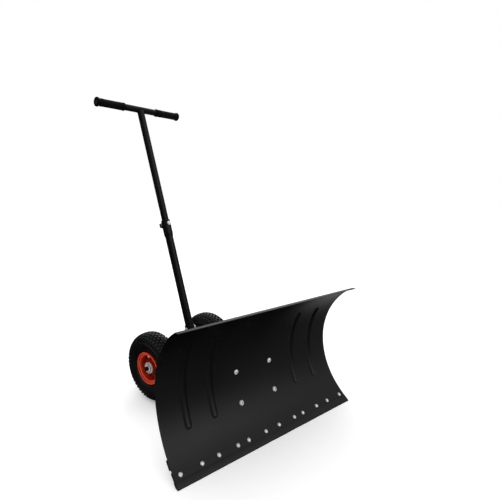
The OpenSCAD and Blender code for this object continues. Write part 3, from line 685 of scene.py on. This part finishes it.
def rim_half():
    """Pressed rim half: hub collar, cone, dished disc, bead seat and rolled lip, with eight ribs."""
    t = 2 * MM
    bore = 20.05 * MM
    lip = 3.2 * MM
    lip_r = RIM_R - lip
    bead_r = 50 * MM
    half = 29 * MM
    points = [(bore, 24 * MM, 0.6 * MM), (bore, 15 * MM, 2 * MM), (30 * MM, 0.1 * MM, 5 * MM),
              (bead_r, 0.1 * MM, 3.5 * MM), (bead_r, half, 1.0 * MM), (lip_r, half, 0.4 * MM)]
    roll = [(lip_r + lip * math.sin(math.radians(a)), half + lip - lip * math.cos(math.radians(a)), 0)
            for a in range(20, 260, 20)]
    inner = [(lip_r - 1.2 * MM, half + t, 0.8 * MM), (bead_r - t, half + t, 3.0 * MM),
             (bead_r - t, 0.1 * MM + t, 2.5 * MM), (30.9 * MM, 0.1 * MM + t, 4 * MM),
             (bore + t, 16 * MM, 2 * MM), (bore + t, 24 * MM, 0.8 * MM)]
    shell = lathe(rounded(points + roll + inner, 0, 4), 144)
    ribs = []
    rib = rounded([(22 * MM, 13 * MM), (22 * MM, 21.5 * MM, 2 * MM), (34 * MM, 10 * MM, 5 * MM),
                   (bead_r - 2.2 * MM, 8 * MM, 2 * MM), (bead_r - 1.0 * MM, 1.2 * MM), (31 * MM, 1.2 * MM)],
                  0.3 * MM, 4)
    for i in range(8):
        a = (i + 0.5) * math.pi / 4
        width = 1.5 * MM

        def place(p, w):
            flare = 1 + 0.5 * max(0, 1 - (p[1] - 2 * MM) / (8 * MM))
            return Vector((p[0] * math.cos(a) - w * flare * math.sin(a),
                           p[0] * math.sin(a) + w * flare * math.cos(a), p[1]))

        ribs.append(prism(rib, [-width, -width * 0.75, 0, width * 0.75, width], place))
    # raised pads under the four bolts
    bolt_circle = 39 * MM
    pads = []
    pad_top = 2.5 * MM
    pad = rounded([(3.3 * MM, 1.9 * MM), (8.6 * MM, 1.9 * MM), (7.4 * MM, pad_top, 0.4 * MM), (3.3 * MM, pad_top)],
                  0.1 * MM, 3)
    for i in range(4):
        a = math.pi / 4 + i * math.pi / 2
        seat = Matrix.Translation((bolt_circle * math.cos(a), bolt_circle * math.sin(a), 0))
        pads.append(moved(lathe(pad, 32), seat))
    return merged(shell, *ribs, *pads)


def hub_shell():
    """Hub tube with turned, chamfered ends and a groove by each end."""
    half = 31 * MM
    r = 20 * MM
    seat_r = 17.5 * MM
    seat_end = 19.8 * MM
    groove_r = r - 0.6 * MM
    end = [(r, 25.6 * MM, 0.3 * MM), (groove_r, 26 * MM, 0), (groove_r, 27 * MM, 0), (r, 27.4 * MM, 0.3 * MM),
           (r, half, 1.2 * MM), (seat_r, half, 0.3 * MM), (seat_r, seat_end, 0), (12 * MM, seat_end, 0)]
    outline = [(x, -z, soft) for x, z, soft in reversed(end)] + end
    return lathe(rounded(outline, 0, 3), 96)


def bearing_pair():
    """Two sealed bearings: bright outer and inner rings, with the seal's step between them."""
    parts = []
    for end in (-1, 1):
        mid = end * (31 - 0.1 - 5.5) * MM
        w = 5.5 * MM
        ring = rounded([(8.06 * MM, -w, 0.4 * MM), (10.6 * MM, -w, 0.2 * MM), (10.9 * MM, -w + 0.7 * MM),
                        (14.7 * MM, -w + 0.7 * MM), (15.0 * MM, -w, 0.2 * MM), (17.48 * MM, -w, 0.5 * MM),
                        (17.48 * MM, w, 0.5 * MM), (15.0 * MM, w, 0.2 * MM), (14.7 * MM, w - 0.7 * MM),
                        (10.9 * MM, w - 0.7 * MM), (10.6 * MM, w, 0.2 * MM), (8.06 * MM, w, 0.4 * MM)], 0, 2)
        parts.append(moved(lathe(ring, 72), Matrix.Translation((0, 0, mid))))
    return merged(*parts)


TYRE_MESH = tyre()
for side_name, centre in WHEELS.items():
    sign = -1 if side_name == "left" else 1
    wheel = Matrix.Translation(centre) @ Matrix.Rotation(sign * math.pi / 2, 4, "Y")
    flip = wheel @ Matrix.Scale(-1, 4, (0, 0, 1))
    body = "wheel_" + side_name
    piece = make("tyre_tread_" + side_name, *TYRE_MESH, wheel, body, "tyre_rubber", TYRE_RUBBER, sharp=40)
    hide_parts("tyre_" + side_name)
    piece = make("rim_dish_outer_" + side_name, *rim_half(), wheel, body, "rim_paint", RIM_PAINT, sharp=50)
    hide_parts("rim_outer_" + side_name)
    piece = make("rim_dish_inner_" + side_name, *rim_half(), flip, body, "rim_paint", RIM_PAINT, sharp=50)
    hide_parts("rim_inner_" + side_name)
    piece = make("hub_barrel_" + side_name, *hub_shell(), wheel, body, "zinc", ZINC, sharp=45)
    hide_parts("hub_" + side_name)
    piece = make("bearing_rings_" + side_name, *bearing_pair(), wheel, body, "steel", STEEL, sharp=45)
    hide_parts("bearings_" + side_name)

# ---------- handle ----------

MAST_FOOT = FOOT + Vector((0, 170 * MM, 0))
MAST_LEN = 1183.8 * MM
UPPER_R = 14.3 * MM
BAR_R = 12.7 * MM
BAR_HALF = 209 * MM
GRIP_START = 82 * MM
MAST_FRAME = Matrix.Translation(MAST_FOOT) @ Matrix.Rotation(-MAST_LEAN, 4, "X")
BAR_FRAME = MAST_FRAME @ Matrix.Translation((0, 0, MAST_LEN))


def grip():
    """Rubber sleeve: ring at its inner end, slim waist, wide flange with a hole at its outer end."""
    length = BAR_HALF - GRIP_START
    r = 15 * MM
    bore = BAR_R + 0.05 * MM
    hole_r = 8.2 * MM
    end_wall = 3.4 * MM
    outline = [(bore, 0, 0.4 * MM), (r + 1 * MM, 0, 1.2 * MM), (r + 1 * MM, 6.4 * MM, 1.0 * MM),
               (r, 8 * MM, 0.8 * MM)]
    ring = 1.5 * MM
    ring_h = 0.45 * MM
    soft = 0.3 * MM
    # low raised rings in two groups
    for start in (14 * MM, length - 28 * MM):
        for k in range(4):
            z = start + k * 3.4 * MM
            outline += [(r, z, soft), (r + ring_h, z + 0.4 * MM, soft), (r + ring_h, z + ring, soft),
                        (r, z + ring + 0.4 * MM, soft)]
    outline += [(r, length - 8.4 * MM, 1 * MM), (r + 3 * MM, length - 6 * MM, 1.2 * MM),
                (r + 3 * MM, length, 2.4 * MM), (hole_r, length, 1.0 * MM),
                (hole_r, length - end_wall, 0.3 * MM), (bore, length - end_wall, 0.2 * MM)]
    return lathe(rounded(outline, 0, 4), 72)


for side_name, sign in (("left", -1), ("right", 1)):
    seat = BAR_FRAME @ Matrix.Rotation(sign * math.pi / 2, 4, "Y") @ Matrix.Translation((0, 0, GRIP_START))
    piece = make("grip_sleeve_" + side_name, *grip(), seat, "handle", "grip_rubber", GRIP_RUBBER, sharp=50)
    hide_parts("grip_" + side_name)


def saddle(count=72):
    """Line where the top of the mast meets the cross tube, in the mast's frame at the bar."""
    r = UPPER_R + 0.3 * MM
    path = []
    for k in range(count):
        a = 2 * math.pi * k / count
        y = r * math.sin(a)
        inside = max(BAR_R**2 - y * y, 0)
        path.append((r * math.cos(a), y, -math.sqrt(inside) + (0.4 * MM if inside else 0)))
    return path


make("weld_cross_tube", *weld_bead(saddle(), 1.7 * MM), BAR_FRAME, "handle", "frame_paint", FRAME_PAINT,
     sharp=60)


def star_knob(r, h, bore, lobes=5):
    """Moulded star knob: rounded lobes, crowned top and a plain foot."""
    outline = [(bore, 0), (r * 0.5, 0, 0.06 * r), (r * 0.55, h * 0.26, 0.05 * r), (r, h * 0.3, 0.16 * r),
               (r, h * 0.84, 0.2 * r), (r * 0.62, h * 0.94, 0.3 * r), (r * 0.42, h, 0.15 * r), (0.3 * MM, h),
               (0.3 * MM, h * 0.8), (bore, h * 0.78)]

    def wave(a, radius, z):
        grown = max(0.0, (radius - 0.55 * r) / (0.45 * r))
        dip = 0.24 * (0.5 - 0.5 * math.cos(lobes * a)) ** 0.8
        return radius * (1 - dip * min(grown, 1)), z

    return lathe(rounded(outline, 0, 5), 160, wave)


# ---------- knobs and collar ----------

COLLAR_R = 18.5 * MM
KNOB_BORE = 4.06 * MM
knob_seat = (Matrix.Translation(COLLAR_BOLT) @ Matrix.Rotation(-MAST_LEAN, 4, "X")
             @ Matrix.Rotation(-math.pi / 2, 4, "X"))
piece = make("collar_star_knob", *star_knob(13 * MM, 14 * MM, KNOB_BORE),
             knob_seat @ Matrix.Translation((0, 0, COLLAR_R + 1.5 * MM)), "collar_knob", "black_plastic",
             PLASTIC, sharp=50)
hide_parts("collar_knob")
knob_foot = Vector(JOINTS["swivel_knob_turn"]["pos_m"])
knob_foot.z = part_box("swivel_knob")[0].z
piece = make("swivel_star_knob", *star_knob(20 * MM, 20 * MM, KNOB_BORE), Matrix.Translation(knob_foot),
             "swivel_knob", "black_plastic", PLASTIC, sharp=50)
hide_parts("swivel_knob")


def collar():
    """Clamp collar: tapered lower end, rounded lip and a shallow groove under its top ring."""
    low, high, taper = 634 * MM, 702 * MM, 12 * MM
    tube_r = 16.05 * MM
    outline = [(tube_r, low, 0.3 * MM), (tube_r + 1.2 * MM, low, 0.6 * MM), (COLLAR_R, low + taper, 2.5 * MM),
               (COLLAR_R, high - 5.6 * MM, 0.5 * MM), (COLLAR_R - 0.7 * MM, high - 5 * MM, 0.2 * MM),
               (COLLAR_R - 0.7 * MM, high - 4 * MM, 0.2 * MM), (COLLAR_R, high - 3.4 * MM, 0.5 * MM),
               (COLLAR_R, high, 1.2 * MM), (UPPER_R + 0.06 * MM, high, 0.5 * MM),
               (UPPER_R + 0.06 * MM, high - 7 * MM), (tube_r, high - 7.4 * MM)]
    return lathe(rounded(outline, 0, 4), 96)


piece = make("mast_collar_shell", *collar(), MAST_FRAME, "chassis", "frame_paint", FRAME_PAINT, sharp=45)
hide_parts("mast_collar")

# ---------- welds on the frame and the blade bracket ----------

BEAM_HALF = 20 * MM
AXLE = FOOT + Vector((0, 288 * MM, 128.5 * MM))
BEAM_TOP = AXLE.z + BEAM_HALF
AXLE_WELD_R = 13.4 * MM


def circle(centre, u, v, r1, r2, count=64):
    """Closed ring of points round centre, r1 along u and r2 along v."""
    return [centre + u * r1 * math.cos(2 * math.pi * k / count) + v * r2 * math.sin(2 * math.pi * k / count)
            for k in range(count)]


X, Y, Z = Vector((1, 0, 0)), Vector((0, 1, 0)), Vector((0, 0, 1))
socket_r = 19.6 * MM
socket_foot = MAST_FOOT + MAST_UP * (BEAM_TOP / MAST_UP.z)
frame_welds = [weld_bead(circle(socket_foot, X, Y, socket_r, socket_r / MAST_UP.z), 2.0 * MM)]
for sign in (-1, 1):
    axle_joint = AXLE + X * sign * (BEAM_HALF + 0.4 * MM)
    frame_welds.append(weld_bead(circle(axle_joint, Y, Z, AXLE_WELD_R, AXLE_WELD_R), 1.8 * MM))
    edge = FOOT + Vector((sign * (BEAM_HALF + 0.1 * MM), 0, BEAM_TOP))
    frame_welds.append(weld_bead([edge + Y * (-18 * MM), edge + Y * 60 * MM], 1.5 * MM, closed=False))
make("weld_frame", *merged(*frame_welds), Matrix.Identity(4), "chassis", "frame_paint", FRAME_PAINT, sharp=60)

plate_x = 59 * MM
bracket_welds = []
for sign in (-1, 1):
    path = [on_sheet(s * MM, sign * plate_x, -SHEET_T - 4.3 * MM) for s in range(92, 240, 4)]
    bracket_welds.append(weld_bead(path, 1.7 * MM, closed=False))
make("weld_bracket", *merged(*bracket_welds), BLADE_FRAME, "blade", "frame_paint", FRAME_PAINT, sharp=60)

# ---------- stage, light and camera ----------


def stage_floor():
    """Large pale floor, a hair below the wheels, with a faint glow that keeps it near white."""
    g = Graph("stage_floor")
    grain = g.noise(3, 3)
    material = g.finish(g.mix(grain, (0.92, 0.92, 0.92, 1), (0.95, 0.95, 0.95, 1)), 0.9, 0, 0.1)
    g.shader.inputs["Emission Color"].default_value = (1, 1, 1, 1)
    g.shader.inputs["Emission Strength"].default_value = 0.22
    mesh = bpy.data.meshes.new("stage_floor")
    reach = 14.0
    drop = -0.4 * MM
    corners = [(-reach, -reach, drop), (reach, -reach, drop), (reach, reach, drop), (-reach, reach, drop)]
    mesh.from_pydata(corners, [], [(0, 1, 2, 3)])
    mesh.materials.append(material)
    floor = bpy.data.objects.new("stage_floor", mesh)
    scene.collection.objects.link(floor)
    floor.visible_glossy = False


stage_floor()


def soft_light(name, place, target, size, power):
    """Area light aimed at target. It lights matt surfaces only: glossy ones mirror the sky's soft boxes."""
    data = bpy.data.lights.new(name, "AREA")
    data.shape = "RECTANGLE"
    data.size, data.size_y = size
    data.energy = power
    light = bpy.data.objects.new(name, data)
    light.location = place
    light.rotation_mode = "QUATERNION"
    light.rotation_quaternion = (target - place).to_track_quat("-Z", "Y")
    light.visible_glossy = False
    scene.collection.objects.link(light)


BLADE_MID = FOOT + Vector((0, -0.15, 0.2))
soft_light("light_top", FOOT + Vector((0.4, 0.2, 2.8)), BLADE_MID, (2.6, 2.6), 12)
soft_light("light_rear_right", FOOT + Vector((2.2, 2.0, 1.6)), BLADE_MID, (1.6, 1.2), 14)

# soft boxes that glossy surfaces mirror: direction, narrowness and strength
SOFT_BOXES = (((0.15, -0.80, 0.58), 10, 0.85), ((-0.10, -0.86, 0.50), 10, 1.0), ((0.62, -0.25, 0.75), 12, 0.45),
              ((0.75, -0.63, -0.17), 12, 0.2), ((0.92, 0.10, -0.38), 16, 0.7), ((0.0, -0.86, -0.51), 8, 0.1),
              ((0.68, 0.63, 0.37), 12, 1.0), ((0.73, 0.25, 0.63), 24, 1.4), ((-0.75, 0.1, 0.65), 8, 0.25),
              ((-0.1, 0.5, 0.86), 6, 0.4))


def sky():
    """Even white for the camera and for diffuse light; dark with soft boxes for what glossy paint mirrors."""
    world = bpy.data.worlds.new("studio")
    world.use_nodes = True
    tree = world.node_tree
    tree.nodes.clear()

    def node(kind, operation=None):
        made = tree.nodes.new(kind)
        if operation:
            made.operation = operation
        return made

    output = node("ShaderNodeOutputWorld")
    soft = node("ShaderNodeBackground")
    soft.inputs["Color"].default_value = (1, 1, 1, 1)
    mirrored = node("ShaderNodeBackground")
    rays = node("ShaderNodeLightPath")
    mixer = node("ShaderNodeMixShader")
    place = node("ShaderNodeTexCoord")
    total = None
    for direction, narrow, strength in SOFT_BOXES:
        dot = node("ShaderNodeVectorMath", "DOT_PRODUCT")
        dot.inputs[1].default_value = Vector(direction).normalized()
        tree.links.new(place.outputs["Generated"], dot.inputs[0])
        front = node("ShaderNodeMath", "MAXIMUM")
        front.inputs[1].default_value = 0.0
        tree.links.new(dot.outputs["Value"], front.inputs[0])
        lobe = node("ShaderNodeMath", "POWER")
        lobe.inputs[1].default_value = narrow
        tree.links.new(front.outputs["Value"], lobe.inputs[0])
        gain = node("ShaderNodeMath", "MULTIPLY_ADD")
        gain.inputs[1].default_value = strength
        gain.inputs[2].default_value = 0.004
        tree.links.new(lobe.outputs["Value"], gain.inputs[0])
        if total:
            tree.links.new(total, gain.inputs[2])
        total = gain.outputs["Value"]
    tree.links.new(total, mirrored.inputs["Color"])
    tree.links.new(rays.outputs["Is Glossy Ray"], mixer.inputs["Fac"])
    tree.links.new(soft.outputs["Background"], mixer.inputs[1])
    tree.links.new(mirrored.outputs["Background"], mixer.inputs[2])
    tree.links.new(mixer.outputs["Shader"], output.inputs["Surface"])
    scene.world = world


sky()
scene.view_settings.view_transform = "Standard"

# camera: close in front of the blade's left end and a little above the wheels, with a wide lens
CAMERA_AZ = math.radians(-47.16)
CAMERA_EL = math.radians(7.08)
CAMERA_ROLL = math.radians(-0.41)
CAMERA_AIM = FOOT + Vector((-0.3644, -0.18, 0.6745))
CAMERA_BACK = 0.8772


def camera():
    """Camera looking at CAMERA_AIM along the angles above, rolled a little, with a shifted lens."""
    data = bpy.data.cameras.new("camera")
    data.sensor_width = 36
    data.lens = 26.72
    data.shift_x = 0.0884
    data.shift_y = -0.0238
    data.clip_start = 0.02
    back = Vector((math.sin(CAMERA_AZ) * math.cos(CAMERA_EL), -math.cos(CAMERA_AZ) * math.cos(CAMERA_EL),
                   math.sin(CAMERA_EL)))
    right = Vector((math.cos(CAMERA_AZ), math.sin(CAMERA_AZ), 0))
    up = back.cross(right)
    rolled_right = right * math.cos(CAMERA_ROLL) + up * math.sin(CAMERA_ROLL)
    rolled_up = up * math.cos(CAMERA_ROLL) - right * math.sin(CAMERA_ROLL)
    turn = Matrix((rolled_right, rolled_up, back)).transposed().to_4x4()
    made = bpy.data.objects.new("camera", data)
    made.matrix_world = Matrix.Translation(CAMERA_AIM + back * CAMERA_BACK) @ turn
    scene.collection.objects.link(made)
    scene.camera = made


camera()
